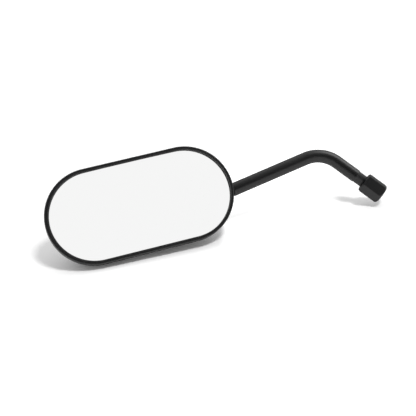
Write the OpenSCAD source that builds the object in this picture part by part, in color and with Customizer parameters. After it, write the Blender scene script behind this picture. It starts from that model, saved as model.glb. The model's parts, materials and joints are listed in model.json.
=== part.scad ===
// Motorcycle mirror: obround convex head, clamped ball joint, bent rod stem and coupling nut.
// Millimetres. +Z runs up the nut and the lower leg of the stem, the glass faces -Y.

/* [Stem] */
// Rod diameter
rod_d = 12; // [10.5:0.5:12.5]
// Height of the bend's corner over the nut's thread start
corner_z = 67.2; // [64:0.1:76]
// Distance from the bend's corner to the ball's centre
corner_to_ball = 119; // [112:1:140]
// Angle between the two legs, measured from straight
bend_turn = 60; // [50:1:65]
// Radius of the bend at the rod's centre line
bend_r = 30; // [22:1:32]
// Diameter of the plain collar above the nut
collar_d = 11; // [10.4:0.1:11.4]
// Length of that collar
collar_len = 8.5; // [5:0.5:12]

/* [Coupling nut] */
// Size across the flats
nut_af = 17; // [16:0.5:19]
// Length of the nut
nut_len = 20.5; // [19.5:0.5:25]
// Depth of thread left free for the handlebar's stud
free_thread = 8.6; // [8:0.1:9.4]
// Depth of the countersink at the mouth
mouth_cs = 0.8; // [0.5:0.1:1]
// Radius of the tapped wall, M10 at its root
tap_r = 4.32; // [4.3:0.01:4.4]

/* [Head] */
// Length of the head across its two ends
head_len = 170; // [164:1:176]
// Width of the head
head_wid = 86; // [85:0.5:88]
// Width of the black rim seen round the glass
rim_w = 3.5; // [3.3:0.1:3.8]
// Height of the rim over the middle of the glass
rim_top = 0.9; // [0.7:0.1:1.4]
// Depth at which the straight side wall turns into the domed back
wall_z = 4; // [3.8:0.1:4.6]
// Depth of the domed back below the side wall
dome_h = 37; // [37:0.5:40]
// Wall thickness of the housing
wall_t = 2.6; // [2.2:0.1:2.7]
// Turn of the head's long axis against the stem
head_roll = 9.5; // [8:0.5:11]
// Radius of the slightly convex glass
glass_curve = 1400; // [1200:50:2000]
// Thickness of the glass
glass_t = 2.5; // [2.2:0.1:2.6]

/* [Ball joint] */
// Ball diameter
ball_d = 15; // [14.6:0.1:15]
// Diameter of the neck between the ball and the rod
neck_d = 8; // [7:0.5:8]
// Clear gap at the ball and at the outside of its seats
seat_gap = 0.05; // [0.03:0.01:0.08]
// Thickness of the seats
seat_t = 2.2; // [2:0.1:2.2]
// Thickness of the pressed plates
plate_t = 1.5; // [1.2:0.1:1.5]
// Distance between the two plates
plate_gap = 13; // [12.6:0.1:13]

/* [Hidden] */
$fn = 48;

rod_r = rod_d / 2;
nut_low = -mouth_cs;
nut_top = nut_len - mouth_cs;
collar_top = nut_top + collar_len;
thread_r = 5;
tangent = bend_r * tan(bend_turn / 2);
ball_r = ball_d / 2;
neck_r = neck_d / 2;
ball_x = -corner_to_ball * sin(bend_turn);
ball_z = corner_z + corner_to_ball * cos(bend_turn);
ball_flat = 6.2;
pin_r = 3;
pin_reach = 3.5;
shoulder_a = 26.6;
shoulder_b = shoulder_a + 0.5;
run_gap = 0.05;
seat_in = ball_r + seat_gap;
seat_out = seat_in + seat_t;
dimple_in = seat_out + seat_gap;
dimple_out = dimple_in + plate_t;
half_gap = plate_gap / 2;
plate_low = -half_gap - plate_t;
plate_high = half_gap + plate_t;
disc_r = dimple_out + 0.5;
half_s = (head_len - head_wid) / 2;
// Room under the glass grows with the dome, and the ball hangs below it
under_glass = dome_h / 4 - 6.05;
ball_depth = glass_t + under_glass + dimple_out;
end_inset = 18;
side_inset = 8.5;
// The ball's centre seen from the middle of the glass
ball_at = [half_s + end_inset, -side_inset, -ball_depth];
out_r = head_wid / 2;
view_r = out_r - rim_w;
glass_r = view_r + 1.1;
seal_r = out_r - 1.8;
ledge_z = -6.6;
dome_z = -wall_z - dome_h;
in_r = out_r - 3.6;
in_h = dome_h + wall_z + ledge_z - wall_t + 0.1;
pad_z = -8.5;
pad_r = in_r - 6.4;
pad_shift = 14;
bead_up = -3;
bead_low = -4.4;
bead_out = 0.5;
// Screws: three clamp the plates, three hold them to the housing
clamp_xy = [[-5, 13.5], [-5, -13.5], [-16, 0]];
fix_xy = [[-20, 14], [-20, -14], [-33, 0]];
fix_deep = dome_h / 3 - 7.1;
screw_r = 1.95;
fix_screw_r = 1.9;
hole_r = 2.3;
tapped_r = 2;
head_r = 3.8;
recess_w = 0.9;
washer_t = 1;
ear_r = 4.6;
collar_r = 3.4;
collar_h = 1.6;
clamp_tail = 2.4;
boss_r = 4.4;
heel_x = -27;
heel_w = 14;
mech_back = 38;
mech_side = 24;
mech_front = 22;
room = 0.3;
// Rubber cup: just clears the plates' rims
boot_in = norm([disc_r, plate_high]) + 0.24;
boot_out = boot_in + 1.1;
boot_reach = 36;
sleeve_r = neck_r + 1.4;
sleeve_top = boot_in + 3.6;
socket_r = boot_out + room;
// Window for the neck, in the ball's frame
mouth_lo = [-7.5, -8];
mouth_hi = [9.5, 8.2];
mouth_r = 2.8;
rib_t = 1.6;
rib_end = ball_at[0] - 42;
rib_step = (head_len + 6) / 8;
// Hex nut's turned ends: height over the mouth and radius
nut_nose = [[6.2, 0], [7.2, 0.4], [8.2, 1], [9, 1.6], [9.6, 2.3]];
nut_past = nut_af * 0.6;
metal = [0.09, 0.09, 0.1];
plastic = [0.07, 0.07, 0.075];

// Frame of the ball: x runs along the rod towards the bend, z towards the glass
module at_ball() {
  translate([ball_x, 0, ball_z]) rotate([0, 90 - bend_turn, 0]) rotate([90, 0, 0]) children();
}

// Frame of the head: origin in the middle of the glass, x along its length, z out of the glass
module at_head() {
  at_ball() rotate([0, 0, -head_roll]) translate(-ball_at) children();
}

// A half section turned round both ends of the head and drawn out between them
module obround(pts, s = half_s) {
  rotate([90, 0, 90])
    translate([0, 0, -s])
      linear_extrude(2 * s)
        union() {
          polygon(pts);
          mirror([1, 0]) polygon(pts);
        }
  translate([s, 0, 0]) rotate([0, 0, -90]) rotate_extrude(angle = 180, $fn = 72) polygon(pts);
  translate([-s, 0, 0]) rotate([0, 0, 90]) rotate_extrude(angle = 180, $fn = 72) polygon(pts);
}

function dome(r, z, h, n = 9) = [for (i = [0:n]) [r * cos(90 * i / n), z - h * sin(90 * i / n)]];

outer_pts = concat(
  [[0, rim_top], [out_r - 1.15, rim_top], [out_r - 0.55, rim_top - 0.22],
    [out_r - 0.15, rim_top - 0.75], [out_r, rim_top - 1.6]],
  dome(out_r, -wall_z, dome_h));

cavity_pts = concat(
  [[0, rim_top + 1], [seal_r, rim_top + 1], [seal_r, bead_up],
    [seal_r + bead_out, bead_up - 0.3], [seal_r + bead_out, bead_low + 0.3],
    [seal_r, bead_low], [seal_r, ledge_z]],
  dome(in_r, ledge_z, in_h));

// Rounded window for the neck, wider to the side where the wall lies farther out
module mouth() {
  rotate([90, 0, 90])
    translate([0, 0, mouth_hi[0] + 3])
      linear_extrude(out_r - end_inset)
        hull()
          for (y = [mouth_lo[0], mouth_hi[0]], z = [mouth_lo[1], mouth_hi[1]])
            translate([y, z]) circle(r = mouth_r, $fn = 24);
}

// Glass blank between two spheres, r is the outline's end radius
module lens_shell(r, top, bottom) {
  n = 9;
  reach = head_len / 2 + 3;
  function sag(x) = glass_curve - sqrt(glass_curve * glass_curve - x * x);
  upper = [for (i = [0:n]) [reach * i / n, top - sag(reach * i / n)]];
  lower = [for (i = [n:-1:0]) [reach * i / n, bottom - sag(reach * i / n)]];
  intersection() {
    rotate_extrude($fn = 72) polygon(concat(upper, lower));
    obround([[0, 5], [r, 5], [r, -12], [0, -12]]);
  }
}

module coupling_nut() {
  color(metal)
    difference() {
      intersection() {
        translate([0, 0, nut_low]) cylinder(r = nut_af / 2 / cos(30), h = nut_len, $fn = 6);
        rotate_extrude()
          polygon(concat(
            [[0, nut_low]],
            [for (p = nut_nose) [p[0], nut_low + p[1]]],
            [[nut_past, nut_low + 3.5], [nut_past, nut_top - 1.6],
              [nut_af / 2 - 0.3, nut_top], [0, nut_top]]));
      }
      translate([0, 0, nut_low - 1]) cylinder(r = tap_r, h = nut_len + 2);
      translate([0, 0, nut_low - 0.01])
        cylinder(r1 = tap_r + mouth_cs + 0.01, r2 = tap_r, h = mouth_cs + 0.01);
      translate([0, 0, free_thread]) cylinder(r = thread_r + run_gap, h = nut_len);
      translate([0, 0, nut_top - 0.6])
        cylinder(r1 = thread_r + run_gap, r2 = thread_r + 0.75, h = 0.61);
    }
}

module stem() {
  to_ball = corner_to_ball - tangent;
  lead = 0.8;
  step = 0.5;
  overlap = 0.2;
  color(metal) {
    translate([0, 0, free_thread + run_gap])
      cylinder(r1 = thread_r - lead, r2 = thread_r, h = lead);
    translate([0, 0, free_thread + run_gap + lead])
      cylinder(r = thread_r, h = nut_top - free_thread - lead);
    translate([0, 0, nut_top + run_gap]) cylinder(d = collar_d, h = collar_len - step - run_gap);
    translate([0, 0, collar_top - step]) cylinder(r1 = collar_d / 2, r2 = rod_r, h = step);
    translate([0, 0, collar_top]) cylinder(r = rod_r, h = corner_z - tangent - collar_top);
    // The bend reaches a little into both legs, a hair thinner than they are
    translate([-bend_r, 0, corner_z - tangent])
      rotate([90, 0, 0])
        rotate([0, 0, -overlap])
          rotate_extrude(angle = bend_turn + 2 * overlap, $fn = 120)
            translate([bend_r, 0]) circle(r = rod_r - 0.02, $fn = 48);
    // Upper leg: z runs on from the bend to the ball
    translate([-bend_r, 0, corner_z - tangent]) rotate([0, -bend_turn, 0]) translate([bend_r, 0, 0]) {
      cylinder(r = rod_r, h = to_ball - shoulder_b);
      translate([0, 0, to_ball - shoulder_b])
        cylinder(r1 = rod_r, r2 = neck_r, h = shoulder_b - shoulder_a);
      translate([0, 0, to_ball - shoulder_a]) cylinder(r = neck_r, h = shoulder_a - ball_flat);
      translate([0, 0, to_ball - ball_flat - 0.1])
        cylinder(r = pin_r, h = ball_flat + 0.1 + pin_reach);
    }
  }
}

module stem_ball() {
  color([0.62, 0.63, 0.65])
    at_ball()
      difference() {
        rotate([0, 90, 0]) sphere(r = ball_r);
        translate([ball_flat, -10, -10]) cube([10, 20, 20]);
        rotate([0, 90, 0]) translate([0, 0, -pin_reach - 0.1]) cylinder(r = pin_r + 0.02, h = 20);
      }
}

// Rubber cup: its skirt is a part of a sphere round the ball, so it shuts the window at every angle
module dust_boot() {
  color([0.05, 0.05, 0.05])
    at_ball()
      rotate([0, 90, 0])
        difference() {
          union() {
            intersection() {
              difference() {
                sphere(r = boot_out);
                sphere(r = boot_in);
              }
              cylinder(r1 = 0, r2 = 20 * tan(boot_reach), h = 20);
            }
            translate([0, 0, boot_in - 0.6]) cylinder(r = sleeve_r, h = sleeve_top - boot_in + 0.6);
          }
          translate([0, 0, 10]) cylinder(r = neck_r + 0.01, h = 12);
        }
}

module seat(up) {
  mirror([0, 0, up ? 0 : 1])
    difference() {
      intersection() {
        sphere(r = seat_out);
        cylinder(r1 = 0, r2 = 12 * tan(52), h = 12);
      }
      sphere(r = seat_in);
    }
}

module front_seat() {
  color([0.85, 0.84, 0.8]) at_ball() seat(true);
}

module back_seat() {
  color([0.85, 0.84, 0.8]) at_ball() seat(false);
}

// Pressed dimple that holds a seat, drawn over the plate's flat
module dimple(up) {
  mirror([0, 0, up ? 0 : 1])
    intersection() {
      sphere(r = dimple_out);
      translate([0, 0, half_gap]) cylinder(r = 14, h = 8);
    }
}

module front_plate() {
  color([0.6, 0.6, 0.58])
    at_ball()
      difference() {
        union() {
          translate([0, 0, half_gap]) linear_extrude(plate_t) front_outline();
          dimple(true);
        }
        sphere(r = dimple_in);
        for (p = clamp_xy)
          translate([p[0], p[1], half_gap - 1]) cylinder(r = hole_r, h = plate_t + 2);
      }
}

module front_outline() {
  hull() {
    circle(r = disc_r);
    translate(clamp_xy[0]) circle(r = ear_r);
    translate(clamp_xy[1]) circle(r = ear_r);
    for (side = [-5, 5]) translate([heel_x + 2, side]) circle(r = 3);
  }
}

module back_outline(grow = 0) {
  hull() {
    circle(r = disc_r + grow);
    for (p = clamp_xy) translate(p) circle(r = ear_r + grow);
    for (p = fix_xy) translate(p) circle(r = ear_r + grow);
  }
}

module back_plate() {
  low = plate_low;
  color([0.6, 0.6, 0.58])
    at_ball()
      difference() {
        union() {
          translate([0, 0, low]) linear_extrude(plate_t) back_outline();
          dimple(false);
          translate([heel_x, -heel_w / 2, low]) cube([plate_t, heel_w, plate_gap + plate_t]);
          for (p = clamp_xy)
            translate([p[0], p[1], low - collar_h]) cylinder(r = collar_r, h = collar_h + 0.1);
        }
        sphere(r = dimple_in);
        for (p = clamp_xy)
          translate([p[0], p[1], low - collar_h - 1])
            cylinder(r = tapped_r, h = collar_h + plate_t + 2);
        for (p = fix_xy) translate([p[0], p[1], low - 1]) cylinder(r = hole_r, h = plate_t + 2);
      }
}

// Cross recess, cut down from the top of a screw's head
module recess(top, reach, deep) {
  for (turn = [0, 90])
    rotate([0, 0, turn])
      translate([-reach, -recess_w / 2, top - deep]) cube([2 * reach, recess_w, deep + 1]);
}

// Low cross-recess screw through the spring washer and both plates
module clamp_screw(i) {
  p = clamp_xy[i];
  head_h = 2.2;
  head_z = plate_high + washer_t;
  tail = plate_low - clamp_tail;
  color([0.75, 0.75, 0.72])
    at_ball()
      translate([p[0], p[1], 0])
        difference() {
          union() {
            translate([0, 0, head_z]) cylinder(r1 = head_r, r2 = head_r - 0.6, h = head_h);
            translate([0, 0, tail]) cylinder(r = screw_r, h = head_z - tail);
          }
          recess(head_z + head_h, 2.2, 1.2);
        }
}

module clamp_screw_1() { clamp_screw(0); }
module clamp_screw_2() { clamp_screw(1); }
module clamp_screw_3() { clamp_screw(2); }

module spring_washer(i) {
  p = clamp_xy[i];
  color([0.5, 0.5, 0.52])
    at_ball()
      translate([p[0], p[1], plate_high])
        difference() {
          cylinder(r = head_r, h = washer_t);
          translate([0, 0, -1]) cylinder(r = screw_r + 0.15, h = washer_t + 2);
          rotate([0, 0, 20]) translate([1, -0.3, -1]) rotate([25, 0, 0]) cube([4, 0.5, 4]);
        }
}

module spring_washer_1() { spring_washer(0); }
module spring_washer_2() { spring_washer(1); }
module spring_washer_3() { spring_washer(2); }

// Pan-head screw from the back plate into a boss of the housing
module plate_screw(i) {
  p = fix_xy[i];
  top = -half_gap;
  head_h = 2.3;
  tip = 1.2;
  long = plate_t + fix_deep - 0.2;
  color([0.72, 0.72, 0.7])
    at_ball()
      translate([p[0], p[1], 0])
        difference() {
          union() {
            translate([0, 0, top]) cylinder(r1 = head_r, r2 = head_r - 0.9, h = head_h);
            translate([0, 0, top - long + tip]) cylinder(r = fix_screw_r, h = long - tip + 0.1);
            translate([0, 0, top - long]) cylinder(r1 = 0.5, r2 = fix_screw_r, h = tip + 0.01);
          }
          recess(top + head_h, 2, 1.1);
        }
}

module plate_screw_1() { plate_screw(0); }
module plate_screw_2() { plate_screw(1); }
module plate_screw_3() { plate_screw(2); }

// Ball-frame point moved into the head's frame
function to_head(p) = [
  ball_at[0] + p[0] * cos(head_roll) - p[1] * sin(head_roll),
  ball_at[1] + p[0] * sin(head_roll) + p[1] * cos(head_roll)];

module housing_ribs() {
  inner = in_r + 1.6;
  tall = pad_z - dome_z;
  intersection() {
    obround(concat([[0, pad_z], [inner - 2, pad_z]], dome(inner, pad_z, tall - wall_t / 2)));
    union() {
      translate([-head_len, -rib_t / 2, dome_z]) cube([head_len + rib_end, rib_t, tall]);
      for (i = [0:3])
        translate([rib_end - end_inset - i * rib_step, -out_r, dome_z])
          cube([rib_t, head_wid, tall]);
    }
  }
}

module housing_bosses() {
  floor_z = ball_at[2] + plate_low;
  intersection() {
    obround(dome_solid());
    for (p = fix_xy) {
      q = to_head(p);
      translate([q[0], q[1], dome_z]) cylinder(r = boss_r, h = floor_z - dome_z);
    }
  }
}

// Space that the clamp and its boot need inside the housing
module clamp_room() {
  translate([0, 0, plate_low - room]) linear_extrude(head_wid) back_outline(room);
  sphere(r = dimple_out + room);
  for (p = clamp_xy) {
    translate([p[0], p[1], plate_low - collar_h - room])
      cylinder(r = collar_r + room, h = plate_gap);
    translate([p[0], p[1], plate_low - clamp_tail - room])
      cylinder(r = screw_r + room, h = plate_gap);
  }
}

function dome_solid() = concat([[0, 0]], dome(out_r - 1.3, -wall_z, dome_h - 1.3));

module housing() {
  color(plastic)
    at_head()
      difference() {
        union() {
          difference() {
            obround(outer_pts);
            obround(cavity_pts);
            translate(ball_at) rotate([0, 0, head_roll]) clamp_room();
          }
          housing_ribs();
          housing_bosses();
        }
        for (p = fix_xy) {
          q = to_head(p);
          translate([q[0], q[1], ball_at[2] + plate_low - fix_deep])
            cylinder(r = fix_screw_r + 0.02, h = head_wid);
        }
        translate(ball_at) sphere(r = socket_r);
        translate(ball_at) rotate([0, 0, head_roll]) mouth();
      }
}

module rim_seal() {
  lip = view_r;
  color([0.045, 0.045, 0.05])
    at_head()
      difference() {
        obround([[lip - 0.9, ledge_z], [seal_r, ledge_z], [seal_r, bead_low],
          [seal_r + bead_out - 0.05, bead_low + 0.3], [seal_r + bead_out - 0.05, bead_up - 0.3],
          [seal_r, bead_up], [seal_r, rim_top - 0.7], [seal_r - 0.4, rim_top - 0.2],
          [(seal_r + lip) / 2, rim_top - 0.02], [lip + 0.4, rim_top - 0.2],
          [lip, rim_top - 0.8], [lip, bead_up - 0.6],
          [lip - 0.9, bead_low]]);
        lens_shell(glass_r + 0.02, 0, -glass_t);
      }
}

module mirror_glass() {
  color([0.75, 0.78, 0.8]) at_head() lens_shell(glass_r, 0, -glass_t);
}

module foam_pad() {
  color([0.2, 0.2, 0.21])
    at_head()
      difference() {
        translate([-pad_shift, 0, 0])
          obround([[0, pad_z], [pad_r, pad_z], [pad_r, 0], [0, 0]], half_s - pad_shift);
        lens_shell(out_r, 5, -glass_t);
        translate([ball_at[0] - mech_back, ball_at[1] - mech_side, 2 * pad_z])
          cube([mech_back + mech_front, 2 * mech_side, -4 * pad_z]);
      }
}

coupling_nut();
stem();
stem_ball();
dust_boot();
front_seat();
back_seat();
front_plate();
back_plate();
clamp_screw_1();
clamp_screw_2();
clamp_screw_3();
spring_washer_1();
spring_washer_2();
spring_washer_3();
plate_screw_1();
plate_screw_2();
plate_screw_3();
housing();
rim_seal();
mirror_glass();
foam_pad();
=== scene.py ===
"""Motorcycle mirror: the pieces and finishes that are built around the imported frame."""

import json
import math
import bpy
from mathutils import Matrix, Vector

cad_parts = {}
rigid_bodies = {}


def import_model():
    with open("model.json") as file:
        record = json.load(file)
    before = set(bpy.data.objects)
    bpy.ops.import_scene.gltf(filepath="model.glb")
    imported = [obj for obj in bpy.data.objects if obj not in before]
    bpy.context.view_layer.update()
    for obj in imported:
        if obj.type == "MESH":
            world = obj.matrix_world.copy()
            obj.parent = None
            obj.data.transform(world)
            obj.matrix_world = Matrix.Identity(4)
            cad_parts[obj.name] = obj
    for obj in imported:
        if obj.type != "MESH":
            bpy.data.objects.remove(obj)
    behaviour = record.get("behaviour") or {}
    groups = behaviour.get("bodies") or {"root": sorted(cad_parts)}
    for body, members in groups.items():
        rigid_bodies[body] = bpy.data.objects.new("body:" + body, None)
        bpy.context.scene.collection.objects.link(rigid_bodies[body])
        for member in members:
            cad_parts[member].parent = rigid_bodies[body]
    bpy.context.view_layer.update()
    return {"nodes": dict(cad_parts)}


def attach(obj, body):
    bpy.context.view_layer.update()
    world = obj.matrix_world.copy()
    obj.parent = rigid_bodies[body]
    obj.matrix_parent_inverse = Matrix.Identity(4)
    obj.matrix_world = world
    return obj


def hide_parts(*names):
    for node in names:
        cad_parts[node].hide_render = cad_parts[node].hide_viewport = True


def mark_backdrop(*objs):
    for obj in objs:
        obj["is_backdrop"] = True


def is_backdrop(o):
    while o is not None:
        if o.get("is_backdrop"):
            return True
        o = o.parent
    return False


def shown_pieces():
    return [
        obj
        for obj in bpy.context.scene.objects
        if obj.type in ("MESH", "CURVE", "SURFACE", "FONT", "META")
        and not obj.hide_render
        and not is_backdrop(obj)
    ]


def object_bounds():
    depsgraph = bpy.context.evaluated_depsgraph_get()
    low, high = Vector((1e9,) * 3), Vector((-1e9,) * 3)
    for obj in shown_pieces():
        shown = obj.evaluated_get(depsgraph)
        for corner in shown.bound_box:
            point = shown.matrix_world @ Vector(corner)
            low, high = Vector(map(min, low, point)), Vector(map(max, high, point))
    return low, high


bl_info = {
    "name": "Motorcycle Mirror",
    "version": (1, 0, 0),
    "blender": (4, 5, 0),
    "location": "3D View > Sidebar > Mirror",
    "description": "Builds a handlebar mirror's stem, nut, ball joint, housing and glass",
    "category": "Object",
}

import bmesh
import bpy
import numpy as np
from mathutils import Matrix, Vector

for left_over in list(bpy.data.objects):
    bpy.data.objects.remove(left_over)
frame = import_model()
MM = 0.001
FULL_TURN = 2 * math.pi


# ---- Sizes and colours that a user may change

def length(name, description, default):
    return bpy.props.FloatProperty(
        name=name, description=description, default=default,
        min=0.0, precision=4, subtype="DISTANCE", unit="LENGTH")


def angle(name, description, degrees):
    return bpy.props.FloatProperty(
        name=name, description=description, default=math.radians(degrees),
        subtype="ANGLE", unit="ROTATION")


def colour(name, description, default):
    return bpy.props.FloatVectorProperty(
        name=name, description=description, default=default,
        size=3, min=0.0, max=1.0, subtype="COLOR")


class MirrorSizes(bpy.types.PropertyGroup):
    """Real sizes of the mirror's parts"""
    rod: length("Rod diameter", "Round rod of the stem", 0.012)
    corner_z: length("Corner height", "Bend's corner over the nut's thread start", 0.0672)
    to_ball: length("Corner to ball", "From the bend's corner to the ball's centre", 0.119)
    bend: angle("Bend", "Turn between the stem's two legs", 60)
    bend_radius: length("Bend radius", "At the rod's centre line", 0.030)
    collar: length("Collar diameter", "Plain collar above the nut", 0.011)
    collar_length: length("Collar length", "Length of that collar", 0.0085)
    flats: length("Nut size", "Across the flats", 0.017)
    nut_length: length("Nut length", "Length of the coupling nut", 0.0205)
    free_thread: length("Free thread", "Thread left for the handlebar's stud", 0.0086)
    pitch: length("Pitch", "Pitch of the thread", 0.00125)
    head_length: length("Head length", "Across the head's two ends", 0.170)
    head_width: length("Head width", "Across the head's sides", 0.086)
    rim: length("Rim width", "Black rim seen round the glass", 0.0035)
    rim_top: length("Rim height", "Over the middle of the glass", 0.0009)
    wall: length("Side wall", "Depth at which the side turns into the dome", 0.004)
    dome: length("Dome depth", "Depth of the domed back below the side wall", 0.037)
    thickness: length("Wall thickness", "Wall of the housing", 0.0026)
    head_roll: angle("Head roll", "Long axis of the head against the stem", 9.5)
    curve: length("Glass radius", "Radius of the slightly convex glass", 1.4)
    glass: length("Glass thickness", "Thickness of the glass", 0.0025)
    ball: length("Ball diameter", "Ball on the end of the stem", 0.015)
    neck: length("Neck diameter", "Between the ball and the rod", 0.008)


class MirrorColours(bpy.types.PropertyGroup):
    """Colours and gloss of the finishes"""
    coat: colour("Powder coat", "Stem and nut", (0.0045, 0.0045, 0.0047))
    plastic: colour("Housing", "Moulded plastic", (0.0048, 0.0050, 0.0053))
    rubber: colour("Rubber", "Seal and boot", (0.0065, 0.0065, 0.0068))
    silver: colour("Mirror", "Silvering behind the glass", (0.915, 0.917, 0.915))
    zinc: colour("Zinc", "Plates and screws", (0.62, 0.62, 0.58))
    steel: colour("Bare steel", "Ball and washers", (0.52, 0.52, 0.53))
    nylon: colour("Nylon", "Seats of the ball", (0.74, 0.72, 0.65))
    foam: colour("Foam", "Pad behind the glass", (0.05, 0.05, 0.052))
    floor: colour("Floor", "Plain pale floor", (0.86, 0.86, 0.86))


# ---- Shader trees

def plug(tree, item, socket):
    """Links a value to a socket, or writes a plain number or colour on it."""
    if isinstance(item, Value):
        tree.links.new(item.socket, socket)
    elif socket.type == "RGBA":
        socket.default_value = (*item, 1.0)
    else:
        socket.default_value = item


class Value:
    """One output in a shader tree, with Python's arithmetic on it."""

    def __init__(self, tree, socket):
        self.tree, self.socket = tree, socket

    def math(self, operation, *items):
        """A math node on the given items, in this value's tree."""
        node = self.tree.nodes.new("ShaderNodeMath")
        node.operation = operation
        for item, socket in zip(items, node.inputs):
            plug(self.tree, item, socket)
        return Value(self.tree, node.outputs[0])

    def __add__(self, other):
        return self.math("ADD", self, other)

    def __radd__(self, other):
        return self.math("ADD", other, self)

    def __sub__(self, other):
        return self.math("SUBTRACT", self, other)

    def __rsub__(self, other):
        return self.math("SUBTRACT", other, self)

    def __mul__(self, other):
        return self.math("MULTIPLY", self, other)

    def __rmul__(self, other):
        return self.math("MULTIPLY", other, self)

    def least(self, other):
        """The lesser of the two at each point."""
        return self.math("MINIMUM", self, other)

    def most(self, other):
        """The greater of the two at each point."""
        return self.math("MAXIMUM", self, other)


class Tree:
    """A node tree and the one way in which nodes are added to it."""

    def __init__(self, tree):
        self.tree = tree
        tree.nodes.clear()

    def add(self, kind, settings=None, values=None, out=0):
        """Adds a node: its settings first, then its sockets; returns the output asked for."""
        node = self.tree.nodes.new(kind)
        for name, item in (settings or {}).items():
            setattr(node, name, item)
        for name, item in (values or {}).items():
            plug(self.tree, item, node.inputs[name])
        return Value(self.tree, node.outputs[out]) if len(node.outputs) else None

    def place(self, scale=(1, 1, 1)):
        """Object coordinates, stretched along the row's axes."""
        here = self.add("ShaderNodeTexCoord", out="Object")
        return self.add("ShaderNodeMapping", None, {"Vector": here, "Scale": scale})

    def noise(self, per_metre, detail=3.0, rough=0.55, at=None):
        return self.add("ShaderNodeTexNoise", None, {
            "Vector": at or self.place(), "Scale": per_metre,
            "Detail": detail, "Roughness": rough}, "Fac")

    def span(self, value, low, high, to_low=0.0, to_high=1.0):
        return self.add("ShaderNodeMapRange", {"interpolation_type": "SMOOTHSTEP"}, {
            "Value": value, "From Min": low, "From Max": high,
            "To Min": to_low, "To Max": to_high})

    def mix(self, share, a, b):
        """Colour a going over to colour b."""
        return self.add("ShaderNodeMix", {"data_type": "RGBA"}, {
            0: share, 6: a, 7: b}, 2)

    def bump(self, height, strength, distance):
        return self.add("ShaderNodeBump", None, {
            "Height": height, "Strength": strength, "Distance": distance})

    def surface(self, values):
        """Ends a material's tree in a principled surface."""
        made = self.add("ShaderNodeBsdfPrincipled", None, values)
        self.add("ShaderNodeOutputMaterial", None, {"Surface": made})


def painted(name):
    """A new material and its emptied tree."""
    made = bpy.data.materials.new(name)
    made.use_nodes = True
    return made, Tree(made.node_tree)


def tint(rgb, times):
    return tuple(min(1.0, c * times) for c in rgb)


def powder_coat(t, c):
    """Satin powder coat: a fine orange peel, faint dust and paler, smoother edges."""
    peel = t.noise(850, 2.0)
    fine = t.noise(4200, 2.0)
    cloud = t.noise(35, 4.0)
    edge = t.span(t.add("ShaderNodeNewGeometry", out="Pointiness"), 0.53, 0.60)
    dust = t.span(t.noise(9000, 1.0), 0.66, 0.74)
    base = t.mix(cloud, tint(c.coat, 0.85), tint(c.coat, 1.2))
    base = t.mix(edge * 0.5, base, tint(c.coat, 2.4))
    base = t.mix(dust * 0.25, base, (0.06, 0.06, 0.06))
    brink = t.span(t.add("ShaderNodeLayerWeight", None, {"Blend": 0.5}, "Facing"), 0.25, 0.85)
    t.surface({
        "Base Color": base,
        "Roughness": 0.29 + 0.06 * cloud + 0.05 * fine - 0.04 * edge + 0.45 * brink,
        "Normal": t.bump(peel + 0.25 * fine, 0.16, 0.00012)})


def moulded_plastic(t, c):
    """Black moulded plastic with a spark-eroded grain and slow changes of gloss."""
    grain = t.add("ShaderNodeTexVoronoi", {"feature": "SMOOTH_F1"}, {
        "Vector": t.place(), "Scale": 2600, "Smoothness": 0.7}, "Distance")
    fine = t.noise(5200, 2.0)
    cloud = t.noise(28, 3.0)
    base = t.mix(cloud, tint(c.plastic, 0.85), tint(c.plastic, 1.2))
    base = t.mix(t.span(fine, 0.62, 0.74) * 0.2, base, (0.03, 0.03, 0.03))
    t.surface({
        "Base Color": base,
        "Roughness": 0.36 + 0.07 * cloud + 0.05 * grain,
        "Normal": t.bump(grain + 0.3 * fine, 0.14, 0.00008)})


def black_rubber(t, c):
    """Matt rubber with a soft bloom and moulding marks."""
    bloom = t.noise(60, 4.0)
    grain = t.noise(3000, 3.0)
    base = t.mix(t.span(bloom, 0.35, 0.75), c.rubber, tint(c.rubber, 1.7))
    t.surface({
        "Base Color": base,
        "Roughness": 0.52 + 0.10 * bloom + 0.05 * grain,
        "Normal": t.bump(grain, 0.15, 0.00006)})


def silvered_glass(t, c):
    """Mirror glass: silvering, a trace of dust and a barely uneven polish."""
    haze = t.noise(22, 3.0)
    speck = t.span(t.noise(2600, 1.0), 0.74, 0.80)
    base = t.mix(haze, tint(c.silver, 0.997), tint(c.silver, 1.003))
    base = t.mix(speck * 0.03, base, (0.7, 0.7, 0.69))
    t.surface({
        "Base Color": base,
        "Metallic": 1.0,
        "Roughness": 0.015 + 0.012 * haze + 0.04 * speck})


def zinc_plate(t, c):
    """Bright zinc plating with rolling marks and dull patches."""
    rolled = t.noise(900, 3.0, at=t.place((1.0, 1.0, 0.12)))
    patch = t.noise(160, 5.0, 0.65)
    edge = t.span(t.add("ShaderNodeNewGeometry", out="Pointiness"), 0.52, 0.60)
    base = t.mix(t.span(patch, 0.3, 0.7), tint(c.zinc, 0.8), tint(c.zinc, 1.08))
    base = t.mix(edge * 0.5, base, (0.72, 0.72, 0.70))
    t.surface({
        "Base Color": base,
        "Metallic": 1.0,
        "Roughness": 0.28 + 0.18 * patch + 0.08 * rolled,
        "Normal": t.bump(rolled + 0.5 * patch, 0.18, 0.00006)})


def turned_steel(t, c):
    """Turned steel with fine tool rings and a film of grease."""
    ring = t.noise(2400, 2.0, at=t.place((1.0, 0.15, 1.0)))
    film = t.noise(240, 4.0)
    base = t.mix(film, tint(c.steel, 0.75), tint(c.steel, 1.1))
    t.surface({
        "Base Color": base,
        "Metallic": 1.0,
        "Roughness": 0.2 + 0.15 * film + 0.08 * ring,
        "Normal": t.bump(ring, 0.12, 0.00005)})


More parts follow.
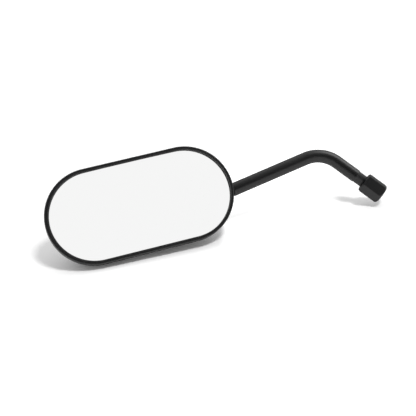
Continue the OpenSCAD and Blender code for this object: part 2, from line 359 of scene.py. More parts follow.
def spring_steel(t, c):
    """Oiled spring steel, darker and bluish where it was tempered."""
    scale = t.noise(420, 5.0, 0.6)
    base = t.mix(t.span(scale, 0.35, 0.7), (0.10, 0.10, 0.12), tint(c.steel, 0.75))
    t.surface({
        "Base Color": base,
        "Metallic": 1.0,
        "Roughness": 0.3 + 0.2 * scale,
        "Normal": t.bump(scale, 0.15, 0.00006)})


def natural_nylon(t, c):
    """Natural nylon: slightly uneven, greasy and waxy."""
    cloud = t.noise(120, 4.0)
    base = t.mix(cloud, tint(c.nylon, 0.88), tint(c.nylon, 1.08))
    t.surface({
        "Base Color": base,
        "Roughness": 0.38 + 0.15 * cloud,
        "Normal": t.bump(t.noise(1500, 2.0), 0.10, 0.00008)})


def closed_foam(t, c):
    """Dark closed-cell foam, cut so that its cells show."""
    cell = t.add("ShaderNodeTexVoronoi", {"feature": "F1"}, {
        "Vector": t.place(), "Scale": 1500}, "Distance")
    base = t.mix(t.span(cell, 0.1, 0.6), tint(c.foam, 1.5), tint(c.foam, 0.6))
    t.surface({
        "Base Color": base,
        "Roughness": 0.85 + 0.1 * cell,
        "Normal": t.bump(cell, 0.5, 0.0003)})


FINISHES = {
    "black_steel": powder_coat, "housing_plastic": moulded_plastic,
    "boot_rubber": black_rubber, "seal_rubber": black_rubber, "mirror": silvered_glass,
    "plate_steel": zinc_plate, "screw_steel": zinc_plate, "ball_steel": turned_steel,
    "washer_steel": spring_steel, "seat_nylon": natural_nylon, "pad_foam": closed_foam}


def finish(slot):
    """The material for one of the record's slots, made once."""
    made = bpy.data.materials.get(slot + "_finish")
    if made is None:
        made, tree = painted(slot + "_finish")
        FINISHES[slot](tree, bpy.context.scene.mirror_colours)
    return made


# ---- Meshes. Shapes are worked out in millimetres in the frame of the part they belong to.

# The ball's place: outwards from the end's centre, and aside from the middle line
END_INSET, SIDE_INSET = 18.0, 8.5
# A seat's clearance from the ball, its thickness and its edge's angle over the ball's middle
SEAT_GAP, SEAT_THICK, SEAT_EDGE = 0.05, 2.2, 38.6
# All that lies over the ball: seat, plate and their clearances
SEAT_AND_PLATE = 3.8
# Distances from the ball's centre: the rod's shoulder, the boot's skirt, the socket round it
SHOULDER = 27.1
BOOT_INNER, BOOT_OUTER = 14.5, 15.6
SOCKET = 15.9
# Half the angle that the boot's skirt spans, in degrees
BOOT_REACH = 36.0
# The neck's window: centres of its rounded corners (across, up) and their radius
WINDOW_LOW, WINDOW_HIGH, WINDOW_CORNER = (-7.5, -8.0), (9.5, 8.2), 2.8
# Screws through both plates, and from the back plate into the housing, in the ball's frame
CLAMP_SPOTS = [(-5, 13.5), (-5, -13.5), (-16, 0)]
FIX_SPOTS = [(-20, 14), (-20, -14), (-33, 0)]


def ball_place(s):
    """From the ball's frame, x towards the bend and z towards the glass, to the row's."""
    centre = Vector((-s.to_ball * math.sin(s.bend), 0.0,
                     s.corner_z + s.to_ball * math.cos(s.bend)))
    turn = Matrix.Rotation(math.pi / 2 - s.bend, 4, "Y") @ Matrix.Rotation(math.pi / 2, 4, "X")
    return Matrix.Translation(centre) @ turn


def ball_spot(s):
    """The ball's centre seen from the middle of the glass, in millimetres."""
    seats = s.ball / MM / 2 + SEAT_AND_PLATE
    # The room under the glass grows with the dome
    under = s.dome / MM / 4 - 6.05
    half = (s.head_length - s.head_width) / MM / 2
    return Vector((half + END_INSET, -SIDE_INSET, -(s.glass / MM + under + seats)))


def head_place(s):
    """From the head's frame, origin in the middle of the glass, to the row's."""
    return (ball_place(s) @ Matrix.Rotation(-s.head_roll, 4, "Z")
            @ Matrix.Translation(-ball_spot(s) * MM))


def grid(rings, loop=False):
    """A shell through rings of equal size; open ends are closed by flat faces."""
    rings = np.asarray(rings, float)
    count, size = rings.shape[:2]
    faces = []
    for i in range(count if loop else count - 1):
        a, b = i * size, (i + 1) % count * size
        for j in range(size):
            k = (j + 1) % size
            faces.append((a + j, a + k, b + k, b + j))
    if not loop:
        faces.append(tuple(range(size)))
        faces.append(tuple((count - 1) * size + j for j in range(size)))
    return rings.reshape(-1, 3), faces


def skin(rings):
    """A shell through rings without end faces, for rings whose ends close by themselves."""
    points, faces = grid(rings)
    return points, faces[:-2]


def mesh_of(name, shells, place):
    """One closed mesh from several shells in millimetres, set in its place in the row."""
    bm = bmesh.new()
    for points, faces in shells:
        verts = [bm.verts.new(Vector(p) * MM) for p in points]
        for face in faces:
            bm.faces.new([verts[i] for i in face])
    bmesh.ops.remove_doubles(bm, verts=bm.verts, dist=1e-7)
    bmesh.ops.dissolve_degenerate(bm, edges=bm.edges, dist=1e-8)
    bm.transform(place)
    bmesh.ops.recalc_face_normals(bm, faces=bm.faces)
    data = bpy.data.meshes.new(name)
    bm.to_mesh(data)
    bm.free()
    return data


def thing(name, data):
    """A new object in the scene."""
    made = bpy.data.objects.new(name, data)
    bpy.context.scene.collection.objects.link(made)
    return made


def settle(made, body, slot, *nodes, sharp=32.0):
    """Finishes a piece: shading, material, the body it rides on and the nodes it stands for."""
    data = made.data
    data.polygons.foreach_set("use_smooth", [True] * len(data.polygons))
    data.set_sharp_from_angle(angle=math.radians(sharp))
    data.materials.clear()
    data.materials.append(finish(slot))
    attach(made, body)
    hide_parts(*nodes)
    return made


def cut(made, tool):
    """Cuts another object out of this one and uses it up."""
    step = made.modifiers.new("cut", "BOOLEAN")
    step.operation, step.object, step.solver = "DIFFERENCE", tool, "EXACT"
    solid = bpy.data.meshes.new_from_object(
        made.evaluated_get(bpy.context.evaluated_depsgraph_get()))
    if not solid.polygons:
        raise RuntimeError("the boolean on " + made.name + " left nothing")
    made.modifiers.remove(step)
    made.data = solid
    bpy.data.objects.remove(tool)
    return made


def lathe(profile, segments=96):
    """Rings of a profile of (radius, height) turned round Z."""
    a = np.linspace(0, FULL_TURN, segments, endpoint=False)
    return [np.stack([r * np.cos(a), r * np.sin(a), np.full(segments, z)], 1)
            for r, z in profile]


def arc(cx, cz, radius, start, end, steps=8):
    """Points of a profile on an arc, angles in degrees."""
    return [(cx + radius * math.cos(math.radians(t)), cz + radius * math.sin(math.radians(t)))
            for t in np.linspace(start, end, steps + 1)]


def stations(half, end_steps=56, side_steps=20):
    """Places round the obround: its centre's x and the direction outwards."""
    right = [(half, t) for t in np.linspace(-90, 90, end_steps + 1)]
    left = [(-half, t) for t in np.linspace(90, 270, end_steps + 1)]
    top = [(x, 90.0) for x in np.linspace(half, -half, side_steps + 1)[1:-1]]
    low = [(x, 270.0) for x in np.linspace(-half, half, side_steps + 1)[1:-1]]
    return right + top + left + low


def obround(profile_at, half, loop=False):
    """Sweeps a profile of (distance from the middle line, height) round the obround."""
    around = []
    for x, turn in stations(half):
        c, s = math.cos(math.radians(turn)), math.sin(math.radians(turn))
        around.append([(x + r * c, r * s, z) for r, z in profile_at(x, c, s)])
    rings = np.array(around).transpose(1, 0, 2)
    return grid(rings, loop=True) if loop else skin(rings)


# ---- The stem and its nut

def build_stem(s):
    """Bent rod with collar, shoulder, neck and pin, as one skin along its centre line."""
    rod, neck, collar = s.rod / MM / 2, s.neck / MM / 2, s.collar / MM / 2
    nut_top = (s.nut_length - 0.0008) / MM
    start = s.free_thread / MM + 0.05
    step = nut_top + s.collar_length / MM
    tangent = s.bend_radius / MM * math.tan(s.bend / 2)
    low = s.corner_z / MM - tangent
    bow = s.bend_radius / MM * s.bend
    upper = s.to_ball / MM - tangent
    end = low + bow + upper
    shoulder = end - SHOULDER
    along = [(start, 0.0), (start, 4.0), (start + 0.25, 4.35), (start + 0.8, 4.98),
             (nut_top - 0.2, 4.98), (nut_top - 0.1, 4.6), (nut_top + 0.35, 4.6),
             (nut_top + 0.38, collar - 0.22), (nut_top + 0.45, collar - 0.08),
             (nut_top + 0.6, collar), (step - 0.1, collar), (step - 0.04, collar + 0.03),
             (step + 0.46, rod - 0.04), (step + 0.6, rod)]
    along += [(z, rod) for z in np.linspace(step + 1.0, low, 10)]
    along += [(low + bow * i / 44, rod) for i in range(1, 45)]
    along += [(z, rod) for z in np.linspace(low + bow + 1, shoulder - 0.4, 22)]
    along += [(shoulder - 0.15, rod - 0.01), (shoulder - 0.04, rod - 0.04),
              (shoulder + 0.04, rod - 0.16), (shoulder + 0.45, neck + 0.12),
              (shoulder + 0.6, neck), (end - 6.3, neck), (end - 6.25, 3.0),
              (end + 3.5, 3.0), (end + 3.5, 0.0)]
    around = np.linspace(0, FULL_TURN, 72, endpoint=False)
    rings = []
    for d, r in along:
        turn = min(max((d - low) / bow, 0.0), 1.0) * s.bend
        past = max(d - low - bow, 0.0)
        bow_r = s.bend_radius / MM
        middle = Vector((-bow_r * (1 - math.cos(turn)) - past * math.sin(turn), 0.0,
                         min(d, low) + bow_r * math.sin(turn) + past * math.cos(turn)))
        side = Vector((math.cos(turn), 0.0, math.sin(turn)))
        rings.append([middle + side * (r * math.cos(a)) + Vector((0, r * math.sin(a), 0))
                      for a in around])
    return mesh_of("stem", [grid(rings)], Matrix())


def thread(root, crest, start, pitch, turns, per_turn=48):
    """A thread's ridge: a helix of a trapezium that dies away at both ends."""
    rings = []
    steps = int(turns * per_turn)
    for i in range(steps + 1):
        a = FULL_TURN * i / per_turn
        fade = min(1.0, i / per_turn * 2.5, (steps - i) / per_turn * 2.5)
        top = root + (crest - root) * max(fade, 0.02)
        z = start + pitch * i / per_turn
        wide, slim = pitch * 0.44, pitch * 0.08
        section = [(root, -wide), (top, -slim), (top, slim), (root, wide)]
        rings.append([(r * math.cos(a), r * math.sin(a), z + h) for r, h in section])
    return grid(rings)


def soft_least(a, b, reach):
    """The lesser of two lengths, rounded over where they meet."""
    h = np.clip(0.5 + 0.5 * (b - a) / reach, 0, 1)
    return b + (a - b) * h - reach * h * (1 - h)


def build_nut(s):
    """Tall hex nut with turned ends, its edges softened by the coat, and a real thread."""
    size = 360
    # How far the coat rounds the hexagon's edges, as a share of its radius, and the turned ends
    edge_soft, end_soft = 0.014, 0.22
    # Crest and root radius of the thread
    crest, root = 4.33, 5.0
    a = np.linspace(0, FULL_TURN, size, endpoint=False)
    off = np.radians(30) - np.abs(np.mod(a, np.radians(60)) - np.radians(30))
    near, far = np.cos(np.radians(30) - off), np.cos(np.radians(30) + off)
    hexagon = s.flats / MM / 2 / -soft_least(-near, -far, edge_soft)
    low, top = -0.8, s.nut_length / MM - 0.8
    nose = [(6.8, 0.0), (7.3, 0.14), (7.8, 0.36), (8.3, 0.68), (8.7, 1.02), (9.1, 1.44),
            (9.45, 1.92), (9.75, 2.5), (10.0, 3.1), (10.2, 3.6)]
    rings = lathe([(5.72, top - 0.02), (5.8, top)], size)
    heights = list(np.linspace(top, top - 1.9, 20)) + list(np.linspace(top - 3, low + 6, 5))
    heights += list(np.linspace(low + 5.0, low + 0.04, 44))
    for z in heights:
        turned = np.interp(top - z, [0, 1.6, 2.2], [8.15, 10.2, 10.6])
        turned = min(turned, np.interp(z - low, [h for r, h in nose], [r for r, h in nose]))
        r = soft_least(hexagon, np.full(size, float(turned)), end_soft)
        rings.append(np.stack([r * np.cos(a), r * np.sin(a), np.full(size, z)], 1))
    inner = [(6.6, low), (5.12 + 0.1, low), (5.08, low + 0.06), (4.98, low + 0.3),
             (4.95, s.free_thread / MM), (5.05, s.free_thread / MM + 0.1),
             (5.05, top - 0.6), (5.4, top - 0.3)]
    rings += lathe(inner, size)
    turns = (s.free_thread / MM + 0.5) / (s.pitch / MM)
    ridge = thread(root, crest, low + 0.55, s.pitch / MM, turns)
    return mesh_of("coupling_nut", [grid(rings, loop=True), ridge], Matrix())


# ---- The ball joint

def build_ball(s):
    """Ball with a flat towards the neck and a blind hole for the stem's pin."""
    r = s.ball / MM / 2
    hole, foot, face = 3.02, -3.6, 6.2
    profile = [(0.0, foot), (hole, foot), (hole, face - 0.2), (hole + 0.18, face)]
    profile += arc(0, 0, r, math.degrees(math.asin(face / r)), -90, 48)
    return mesh_of("stem_ball", [skin(lathe(profile))],
                   ball_place(s) @ Matrix.Rotation(math.pi / 2, 4, "Y"))


def build_boot(s):
    """Rubber cup: a part of a sphere round the ball, with rolled rim and a ringed sleeve."""
    neck = s.neck / MM / 2
    inner, outer, reach = BOOT_INNER, BOOT_OUTER, BOOT_REACH
    start = math.degrees(math.acos((neck + 0.4) / inner))
    profile = arc(0, 0, inner, start, 90 - reach, 24)
    lip = Vector((math.sin(math.radians(reach)), math.cos(math.radians(reach))))
    mid = (inner + outer) / 2
    profile += [(mid * lip[0] + 0.18, mid * lip[1] - 0.22)]
    profile += arc(0, 0, outer, 90 - reach, math.degrees(math.acos(5.7 / outer)), 20)
    for ring in (15.3, 16.2, 17.1):
        profile += [(5.05, ring - 0.35), (5.4, ring - 0.12),
                    (5.4, ring + 0.12), (5.05, ring + 0.35)]
    profile += [(5.0, 17.75), (4.8, 18.05), (neck + 0.01, 18.1), (neck + 0.01, inner - 0.5)]
    return mesh_of("dust_boot", [grid(lathe(profile), loop=True)],
                   ball_place(s) @ Matrix.Rotation(math.pi / 2, 4, "Y"))


def build_seat(s, up):
    """One nylon seat: a cup on the ball with softened edges."""
    inner = s.ball / MM / 2 + SEAT_GAP
    outer = inner + SEAT_THICK
    profile = arc(0, 0, outer, 90, SEAT_EDGE, 28) + arc(0, 0, inner, SEAT_EDGE, 90, 28)
    flip = Matrix.Diagonal((1, 1, 1 if up else -1, 1))
    return mesh_of("seat", [skin(lathe(profile))], ball_place(s) @ flip)


def fastener_tree():
    """Sets a fastener on each point, each turned by chance as a driver leaves it."""
    tree = bpy.data.node_groups.new("fasteners on points", "GeometryNodeTree")
    face = tree.interface
    face.new_socket("Points", in_out="INPUT", socket_type="NodeSocketGeometry")
    face.new_socket("Fastener", in_out="INPUT", socket_type="NodeSocketObject")
    face.new_socket("Finish", in_out="INPUT", socket_type="NodeSocketMaterial")
    face.new_socket("Size", in_out="INPUT", socket_type="NodeSocketFloat")
    face.new_socket("Seed", in_out="INPUT", socket_type="NodeSocketInt")
    face.new_socket("Geometry", in_out="OUTPUT", socket_type="NodeSocketGeometry")
    t = Tree(tree)
    start = tree.nodes.new("NodeGroupInput")
    given = {o.name: Value(tree, o) for o in start.outputs if o.name}
    shape = t.add("GeometryNodeObjectInfo", None, {"Object": given["Fastener"]}, "Geometry")
    turn = t.add("FunctionNodeRandomValue", {"data_type": "FLOAT_VECTOR"}, {
        0: (0.0, 0.0, 0.0), 1: (0.0, 0.0, FULL_TURN), "Seed": given["Seed"]})
    size = t.add("ShaderNodeCombineXYZ", None, {
        "X": given["Size"], "Y": given["Size"], "Z": given["Size"]})
    placed = t.add("GeometryNodeInstanceOnPoints", None, {
        "Points": given["Points"], "Instance": shape, "Rotation": turn, "Scale": size})
    real = t.add("GeometryNodeRealizeInstances", None, {"Geometry": placed})
    done = t.add("GeometryNodeSetMaterial", None, {
        "Geometry": real, "Material": given["Finish"]})
    t.add("NodeGroupOutput", None, {"Geometry": done})
    return tree


def spread(name, shape, spots, slot, seed, place):
    """Runs the fastener tree on spots in the ball's frame and returns one plain mesh."""
    points = bpy.data.meshes.new(name + "_points")
    points.from_pydata([Vector((x, y, 0)) * MM for x, y in spots], [], [])
    holder = thing(name + "_points", points)
    step = holder.modifiers.new("fasteners", "NODES")
    tree = bpy.data.node_groups.get("fasteners on points") or fastener_tree()
    step.node_group = tree
    keys = {item.name: item.identifier for item in tree.interface.items_tree
            if item.in_out == "INPUT"}
    step[keys["Fastener"]] = shape
    step[keys["Finish"]] = finish(slot)
    step[keys["Size"]] = 1.0
    step[keys["Seed"]] = seed
    holder.update_tag()
    bpy.context.view_layer.update()
    data = bpy.data.meshes.new_from_object(
        holder.evaluated_get(bpy.context.evaluated_depsgraph_get()))
    bpy.data.objects.remove(holder)
    bpy.data.objects.remove(shape)
    if not data.polygons:
        raise RuntimeError("no fasteners were made for " + name)
    data.transform(place)
    data.name = name
    return thing(name, data)


SQUARE = ((-1, -1), (1, -1), (1, 1), (-1, 1))


def screw_shape(head, tail, tip):
    """A screw: head profile, rolled thread, and a cross recess sunk into its head."""
    head_z, head_h, head_r = head
    shank, crest, pitch = 1.58, 1.93, 0.7
    profile = [(0.0, head_z + head_h)]
    profile += arc(0, head_z + head_h - 9.0, 9.0, 84, 72, 6)
    edge = profile[-1]
    profile += [(edge[0] + 0.35, edge[1] - 0.25), (head_r, head_z + 0.7), (head_r, head_z + 0.15),
                (head_r - 0.15, head_z), (1.9, head_z), (1.62, head_z - 0.3)]
    profile += [(1.62, tail + tip), (0.4 if tip > 0.5 else 1.3, tail), (0.0, tail)]
    turns = (head_z - tail - tip - 0.6) / pitch
    ridge = thread(shank, crest, tail + tip + 0.3, pitch, turns, 24)
    made = thing("screw", mesh_of("screw", [skin(lathe(profile, 48)), ridge], Matrix()))
    wide, deep, top = 0.42, 1.25, head_z + head_h + 0.5
    foot, lip = 0.9, 2.1
    for turn in (0.0, math.pi / 2):
        arm = [[(x * lip, y * wide, top) for x, y in SQUARE],
               [(x * foot, y * wide * 0.8, top - deep - 0.5) for x, y in SQUARE]]
        spin = np.array(Matrix.Rotation(turn, 3, "Z"))
        arm = grid(np.array(arm) @ spin.T)
        cut(made, thing("arm", mesh_of("arm", [arm], Matrix())))
    return made


def washer_shape(low):
    """A split spring washer, one end a little over the other."""
    rings = []
    for i in range(61):
        a = math.radians(8 + 344 * i / 60)
        z = low + 0.06 + 0.2 * i / 60
        section = [(2.12, 0.0), (3.72, 0.0), (3.78, 0.08),
                   (3.78, 0.66), (3.72, 0.74), (2.12, 0.74)]
        rings.append([(r * math.cos(a), r * math.sin(a), z + h) for r, h in section])
    return thing("washer", mesh_of("washer", [grid(rings)], Matrix()))


# ---- The head

def sag(s, x, y):
    """How far the glass's face has dropped at a place, against its middle."""
    return s.curve / MM - math.sqrt((s.curve / MM) ** 2 - x * x - y * y)


def build_housing(s):
    """Obround shell with a rounded rim, a stepped seat for the seal and a domed back."""
    half = (s.head_length - s.head_width) / MM / 2
    out_r, wall, dome = s.head_width / MM / 2, s.wall / MM, s.dome / MM
    top, seal_r, in_r, ledge = s.rim_top / MM, out_r - 1.8, out_r - 3.6, -6.6
    in_h = dome + wall + ledge - s.thickness / MM + 0.1
    profile = [(out_r * math.sin(t), -wall - dome * math.cos(t))
               for t in np.linspace(0, math.pi / 2, 33)]
    profile += [(out_r - 1.15 * (1 - math.cos(math.radians(a))),
                 top - 1.6 * (1 - math.sin(math.radians(a)))) for a in np.linspace(0, 90, 13)]
    profile += arc(seal_r + 0.15, top - 0.15, 0.15, 90, 180, 3)
    profile += [(seal_r, -3.0), (seal_r + 0.5, -3.3), (seal_r + 0.5, -4.1), (seal_r, -4.4),
                (seal_r, ledge), (in_r + 0.2, ledge)]
    profile += [(in_r * math.cos(t), ledge - in_h * math.sin(t))
                for t in np.linspace(0.01, math.pi / 2, 25)]
    place = head_place(s)
    made = thing("shell", mesh_of(
        "housing", [obround(lambda x, c, w: profile, half)], place))
    at_ball = ball_place(s)
    cut(made, thing("socket", mesh_of(
        "socket", [skin(lathe(arc(0, 0, SOCKET, -90, 90, 48)))], at_ball)))
    (low_y, low_z), (high_y, high_z) = WINDOW_LOW, WINDOW_HIGH
    corners = []
    for cy, cz, first in ((high_y, high_z, 0), (low_y, high_z, 90),
                          (low_y, low_z, 180), (high_y, low_z, 270)):
        corners += arc(cy, cz, WINDOW_CORNER, first, first + 90, 8)
    window = [[(x, y, z) for y, z in corners] for x in (12.5, 38.0)]
    cut(made, thing("window", mesh_of("window", [grid(window)], at_ball)))
    return made


def build_seal(s):
    """Rubber seal: outer bead in the housing's groove, soft lip over the glass's edge."""
    half = (s.head_length - s.head_width) / MM / 2
    out_r = s.head_width / MM / 2
    narrow, seal_r, ledge = out_r - s.rim / MM, out_r - 1.83, -6.58
    glass_r, thick, top = out_r - s.rim / MM + 1.12, s.glass / MM, s.rim_top / MM - 0.02
    crown = 0.75

    def profile(x, c, w):
        lip = narrow + 0.6 * c
        mid, wide = (seal_r + lip) / 2, (seal_r - lip) / 2
        down = -sag(s, x + lip * c, lip * w)
        low = -sag(s, x + glass_r * c, glass_r * w)
        bead = [(lip - 0.85, ledge), (seal_r, ledge), (seal_r, -4.4),
                (seal_r + 0.42, -4.1), (seal_r + 0.42, -3.3), (seal_r, -3.0)]
        rounded = [(mid + wide * math.cos(math.radians(a)),
                    top - crown + crown * math.sin(math.radians(a)))
                   for a in np.linspace(0, 180, 17)]
        grip = [(lip + 0.02, down + 0.03), (lip + 0.2, down), (glass_r, low),
                (glass_r, low - thick), (lip + 0.1, down - thick),
                (lip, min(down - thick - 0.3, -3.7)),
                (lip - 0.85, min(down - thick - 0.9, -4.4))]
        return bead + rounded + grip

    return thing("seal_ring", mesh_of("seal_ring", [obround(profile, half, loop=True)],
                                      head_place(s)))


def build_glass(s):
    """Convex glass with ground edges."""
    half = (s.head_length - s.head_width) / MM / 2
    r_out = s.head_width / MM / 2 - s.rim / MM + 1.1
    thick, ground = s.glass / MM, 0.3
    shares = np.linspace(0, 1, 22)

    def profile(x, c, w):
        front = [(r, -sag(s, x + r * c, r * w)) for r in shares * (r_out - ground)]
        edge = -sag(s, x + r_out * c, r_out * w)
        back = [(r, z - thick) for r, z in reversed(front)]
        return front + [(r_out, edge - ground), (r_out, edge - thick + ground)] + back

    return thing("silvered_lens", mesh_of("silvered_lens", [obround(profile, half)],
                                          head_place(s)))


# ---- Operators

class StemOperator(bpy.types.Operator):
    """Build the bent stem"""
    bl_idname = "mirror_part.stem"
    bl_label = "Stem"

    def execute(self, context):
        made = thing("stem_rod", build_stem(context.scene.mirror_sizes))
        settle(made, "stem", "black_steel", "stem")
        return {"FINISHED"}


class NutOperator(bpy.types.Operator):
    """Build the tall hex coupling nut with its thread"""
    bl_idname = "mirror_part.nut"
    bl_label = "Coupling nut"

    def execute(self, context):
        made = thing("hex_nut", build_nut(context.scene.mirror_sizes))
        settle(made, "nut", "black_steel", "coupling_nut", sharp=40)
        return {"FINISHED"}


class JointOperator(bpy.types.Operator):
    """Build the ball, its rubber boot and its two seats"""
    bl_idname = "mirror_part.joint"
    bl_label = "Ball joint"

    def execute(self, context):
        s = context.scene.mirror_sizes
        settle(thing("ball", build_ball(s)), "stem", "ball_steel", "stem_ball")
        settle(thing("boot", build_boot(s)), "stem", "boot_rubber", "dust_boot")
        settle(thing("seat_front", build_seat(s, True)), "front_seat", "seat_nylon", "front_seat")
        settle(thing("seat_back", build_seat(s, False)), "back_seat", "seat_nylon", "back_seat")
        return {"FINISHED"}


class ClampOperator(bpy.types.Operator):
    """Build the screws and washers, and finish the plates and the pad of the frame"""
    bl_idname = "mirror_part.clamp"
    bl_label = "Clamp"

    def execute(self, context):
        place = ball_place(context.scene.mirror_sizes)
        for base, shape, spots, slot, seed in (
                ("clamp_screw", screw_shape((9.0, 2.2, 3.75), -10.4, 0.4),
                 CLAMP_SPOTS, "screw_steel", 3),
                ("plate_screw", screw_shape((-6.5, 2.3, 3.75), -13.0, 1.2),
                 FIX_SPOTS, "screw_steel", 8),
                ("spring_washer", washer_shape(8.0), CLAMP_SPOTS, "washer_steel", 5)):
            made = spread(base + "s", shape, spots, slot, seed, place)
            settle(made, "head", slot, *[base + "_" + str(i) for i in (1, 2, 3)])
        for node, slot in (("front_plate", "plate_steel"), ("back_plate", "plate_steel"),
                           ("foam_pad", "pad_foam")):
            data = frame["nodes"][node].data
            data.materials.clear()
            data.materials.append(finish(slot))
        return {"FINISHED"}


class HousingOperator(bpy.types.Operator):
    """Build the moulded housing"""
    bl_idname = "mirror_part.housing"
    bl_label = "Housing"

    def execute(self, context):
        settle(build_housing(context.scene.mirror_sizes), "head", "housing_plastic", "housing")
        return {"FINISHED"}


class GlassOperator(bpy.types.Operator):
    """Build the glass and the seal round it"""
    bl_idname = "mirror_part.glass"
    bl_label = "Glass and seal"

    def execute(self, context):
        s = context.scene.mirror_sizes
        settle(build_seal(s), "head", "seal_rubber", "rim_seal")
        settle(build_glass(s), "head", "mirror", "mirror_glass", sharp=25)
        return {"FINISHED"}


# Camera axes in the row's frame: rightwards, upwards and back out of the picture
RIGHT = Vector((0.5709, -0.1411, -0.8088))
UP = Vector((0.7877, -0.1840, 0.5880))
BACK = Vector((-0.2318, -0.9728, 0.0061))
CAMERA_OFFSET = (0.1591, 0.0123, -1.1311)
FOCAL_PX, FRAME_PX, SENSOR = 1232.0, 416.0, 36.0
# By the camera's axes: upwards from the table, and where the key lamp and the sheen stand
TABLE_UP = (-0.118, 0.932, 0.342)
KEY_FROM = (0.20, 0.56, 0.80)
SHEEN_FROM = (0.586, 0.806, 0.087)
# The floor's glow for the camera alone: even round the head's and the nut's shadows; the extra is
# painted light that washes out the stem's shadow and shadows far off
SHADOW_GLOW, SHADOW_WASHOUT_GLOW = 0.06, 0.34
# Where the band of painted light over the stem's shadow begins after the head's shadow and ends
# before the nut's, rightwards in the picture
HEAD_SHADOW_END, NUT_SHADOW_START = (0.008, 0.022), (0.127, 0.117)
# Distances from the object's middle between which painted light washes the floor's shadows out to
# plain white
FAR = (0.45, 0.75)
FLOOR_SIDE = 6.0


def seen(v):
    """A direction given by the camera's axes, in the row's frame."""
    return (RIGHT * v[0] + UP * v[1] + BACK * v[2]).normalized()


def make_camera():
    data = bpy.data.cameras.new("camera")
    data.sensor_width = SENSOR
    data.lens = FOCAL_PX / FRAME_PX * SENSOR
    camera = thing("camera", data)
    turn = Matrix((RIGHT, UP, BACK)).transposed()
    x, y, z = CAMERA_OFFSET
    spot = -(RIGHT * x + UP * y + BACK * z)
    camera.matrix_world = Matrix.Translation(spot) @ turn.to_4x4()
    bpy.context.scene.camera = camera


def table_height(up):
    """Height of the lowest point of the object along the table's upward direction."""
    lowest = 1e9
    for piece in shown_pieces():
        co = np.zeros(len(piece.data.vertices) * 3)
        piece.data.vertices.foreach_get("co", co)
        lowest = min(lowest, float((co.reshape(-1, 3) @ np.array(up)).min()))
    return lowest


def lowering_tree(up, lowest):
    """Lowers the floor where a pose would take the head or the stem through it."""
    tree = bpy.data.node_groups.new("floor under every pose", "GeometryNodeTree")
    tree.interface.new_socket("Floor", in_out="INPUT", socket_type="NodeSocketGeometry")
    tree.interface.new_socket("Geometry", in_out="OUTPUT", socket_type="NodeSocketGeometry")
    t = Tree(tree)
    start = Value(tree, tree.nodes.new("NodeGroupInput").outputs["Floor"])
    height = t.add("ShaderNodeVectorMath", {"operation": "DOT_PRODUCT"}, {
        0: t.add("GeometryNodeInputPosition"), 1: tuple(up)}, "Value")
    drop = t.add("ShaderNodeValue")
    drop.socket.default_value = 0.0
    for name in ("shell", "stem_rod"):
        shape = t.add("GeometryNodeObjectInfo", {"transform_space": "RELATIVE"}, {
            "Object": bpy.data.objects[name]}, "Geometry")
        low = t.add("GeometryNodeAttributeStatistic", None, {
            "Geometry": shape, "Attribute": height}, "Min")
        drop = drop.least(low - lowest)
    down = t.add("ShaderNodeVectorMath", {"operation": "SCALE"}, {
        0: tuple(up), "Scale": drop}, "Vector")
    moved = t.add("GeometryNodeSetPosition", None, {"Geometry": start, "Offset": down})
    t.add("NodeGroupOutput", None, {"Geometry": moved})
    return tree


def sheet(name, centre, x, y, side):
    """A flat square sheet round a centre."""
    data = bpy.data.meshes.new(name)
    data.from_pydata([centre + x * (i * side / 2) + y * (j * side / 2)
                      for i, j in SQUARE], [], [(0, 1, 2, 3)])
    return thing(name, data)


def softbox(name, target, direction, distance, size, watts):
    """A rectangular lamp that shines on the target and isn't seen itself."""
    data = bpy.data.lights.new(name, "AREA")
    data.shape, data.size, data.size_y = "RECTANGLE", size[0], size[1]
    data.energy = watts
    lamp = thing(name, data)
    lamp.matrix_world = (Matrix.Translation(target + direction * distance)
                         @ direction.to_track_quat("Z", "Y").to_matrix().to_4x4())
    lamp.visible_camera = False
    return lamp


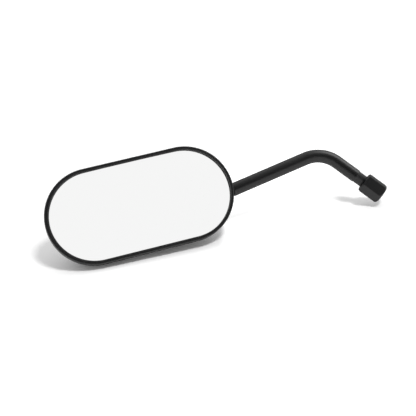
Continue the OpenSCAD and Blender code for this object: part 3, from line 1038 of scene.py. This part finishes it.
class StageOperator(bpy.types.Operator):
    """Build the pale table, the shaded tent, the lamps and the camera"""
    bl_idname = "mirror_part.stage"
    bl_label = "Stage"

    def execute(self, context):
        make_camera()
        up = seen(TABLE_UP)
        lo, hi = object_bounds()
        middle = (lo + hi) / 2
        lowest = table_height(up)
        foot = middle + up * (lowest - middle.dot(up))
        x = (RIGHT - up * RIGHT.dot(up)).normalized()
        floor = sheet("floor", foot, x, up.cross(x), FLOOR_SIDE)
        floor.modifiers.new("lowered", "NODES").node_group = lowering_tree(up, lowest)
        floor.data.materials.append(self.paper(middle))
        dim = self.tent("tent", middle, 3.0)
        white = self.tent("glass_tent", middle, 2.9, fill=True)
        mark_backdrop(floor, dim, white)
        seers = bpy.data.collections.new("glass")
        seers.objects.link(bpy.data.objects["silvered_lens"])
        white.light_linking.receiver_collection = seers

        key = softbox("key", middle, seen(KEY_FROM), 3.0, (0.46, 0.46), 54.0)
        key.visible_glossy = False
        sheen = softbox("sheen", middle, seen(SHEEN_FROM), 1.1, (0.7, 0.7), 4.3)
        sheen.visible_diffuse = False
        context.scene.world = self.studio()
        context.scene.view_settings.view_transform = "Standard"
        return {"FINISHED"}

    def paper(self, middle):
        """The floor: paper that shows the shadows by the head and the nut, and is white for the
        camera beyond; a camera-only glow paints light over the stem's shadow and far shadows.
        """
        made, t = painted("floor_paper")
        ray = t.add("ShaderNodeLightPath", out="Is Camera Ray")
        behind = t.add("ShaderNodeNewGeometry", out="Backfacing")
        plain = bpy.context.scene.mirror_colours.floor
        matt = t.add("ShaderNodeBsdfDiffuse", None, {
            "Color": t.mix(ray, plain, (0.97, 0.97, 0.97))})
        here = t.add("ShaderNodeTexCoord", out="Object")
        across = t.add("ShaderNodeVectorMath", {"operation": "DOT_PRODUCT"}, {
            0: here, 1: tuple(RIGHT)}, "Value")
        across = across + CAMERA_OFFSET[0]
        # Painted light: a band between the head's and the nut's shadows where camera-only glow
        # washes out the stem's cast shadow
        between = t.span(across, *HEAD_SHADOW_END) * t.span(across, *NUT_SHADOW_START)
        # Painted light: camera-only glow far from the object washes out distant shadows
        far = t.span(t.add("ShaderNodeVectorMath", {"operation": "DISTANCE"}, {
            0: here, 1: tuple(middle)}, "Value"), *FAR)
        glow_with_painted_light = t.add("ShaderNodeEmission", None, {
            "Strength": ray * (SHADOW_GLOW + SHADOW_WASHOUT_GLOW * between.most(far))})
        both = t.add("ShaderNodeAddShader", None, {0: matt, 1: glow_with_painted_light})
        clear = t.add("ShaderNodeBsdfTransparent")
        shown = t.add("ShaderNodeMixShader", None, {"Fac": ray * behind, 1: both, 2: clear})
        t.add("ShaderNodeOutputMaterial", None, {"Surface": shown})
        return made

    def studio(self):
        """The world: white where it is seen or reflected, plain light elsewhere."""
        world = bpy.data.worlds.new("studio")
        world.use_nodes = True
        t = Tree(world.node_tree)
        paths = t.add("ShaderNodeLightPath", out="Is Camera Ray")
        gloss = Value(t.tree, paths.socket.node.outputs["Is Glossy Ray"])
        through = Value(t.tree, paths.socket.node.outputs["Is Transmission Ray"])
        seen_by = (paths + gloss + through).least(1.0)
        lit = t.add("ShaderNodeBackground", None, {"Color": (1.0, 1.0, 1.0), "Strength": 0.72})
        white = t.add("ShaderNodeBackground", None, {"Color": (1.0, 1.0, 1.0), "Strength": 1.0})
        both = t.add("ShaderNodeMixShader", None, {"Fac": seen_by, 1: lit, 2: white})
        t.add("ShaderNodeOutputWorld", None, {"Surface": both})
        return world

    def tent(self, name, middle, radius, fill=False):
        """A cap of the tent, dim round the camera; with fill, what it lacks to plain white."""
        rings = []
        for wide in np.linspace(1, 165, 48):
            e = math.radians(wide)
            rings.append([middle + (BACK * math.cos(e) + math.sin(e) * (
                RIGHT * math.cos(a) + UP * math.sin(a))) * radius
                for a in np.linspace(0, FULL_TURN, 64, endpoint=False)])
        points, faces = grid(rings)
        data = bpy.data.meshes.new(name)
        data.from_pydata([tuple(p) for p in points], [], faces[:-1])
        made = thing(name, data)
        paint, t = painted(name)
        away = t.add("ShaderNodeVectorMath", {"operation": "SUBTRACT"}, {
            0: t.add("ShaderNodeTexCoord", out="Object"), 1: tuple(middle)})
        facing = t.add("ShaderNodeVectorMath", {"operation": "DOT_PRODUCT"}, {
            0: away, 1: tuple(BACK / radius)}, "Value")
        # Dim straight behind the camera, white at the sides, dimmer again beyond the object
        dim = 0.06
        sky = (dim + (0.93 - facing) * 0.86).least(1.0).most(dim)
        sky = sky * t.span(facing, -0.45, -0.9, 1.0, 0.35)
        light = t.add("ShaderNodeEmission", None, {"Strength": 1.0 - sky if fill else sky})
        if fill:
            light = t.add("ShaderNodeAddShader", None, {
                0: light, 1: t.add("ShaderNodeBsdfTransparent")})
        t.add("ShaderNodeOutputMaterial", None, {"Surface": light})
        data.materials.append(paint)
        made.visible_camera = made.visible_diffuse = made.visible_shadow = False
        made.visible_transmission = False
        return made


STEPS = (StemOperator, NutOperator, JointOperator, ClampOperator, HousingOperator,
         GlassOperator, StageOperator)


class MirrorPanel(bpy.types.Panel):
    """Lists the steps that build the mirror"""
    bl_idname = "VIEW3D_PT_mirror_part"
    bl_label = "Motorcycle mirror"
    bl_space_type = "VIEW_3D"
    bl_region_type = "UI"
    bl_category = "Mirror"

    def draw(self, context):
        for step in STEPS:
            self.layout.operator(step.bl_idname)
        for group in (context.scene.mirror_sizes, context.scene.mirror_colours):
            for name in group.__annotations__:
                self.layout.prop(group, name)


CLASSES = (MirrorSizes, MirrorColours, *STEPS, MirrorPanel)


def register():
    for kind in CLASSES:
        bpy.utils.register_class(kind)
    bpy.types.Scene.mirror_sizes = bpy.props.PointerProperty(type=MirrorSizes)
    bpy.types.Scene.mirror_colours = bpy.props.PointerProperty(type=MirrorColours)


def unregister():
    del bpy.types.Scene.mirror_colours
    del bpy.types.Scene.mirror_sizes
    for kind in reversed(CLASSES):
        bpy.utils.unregister_class(kind)


def main():
    register()
    for step in STEPS:
        group, name = step.bl_idname.split(".")
        getattr(getattr(bpy.ops, group), name)()


if __name__ == "__main__":
    main()
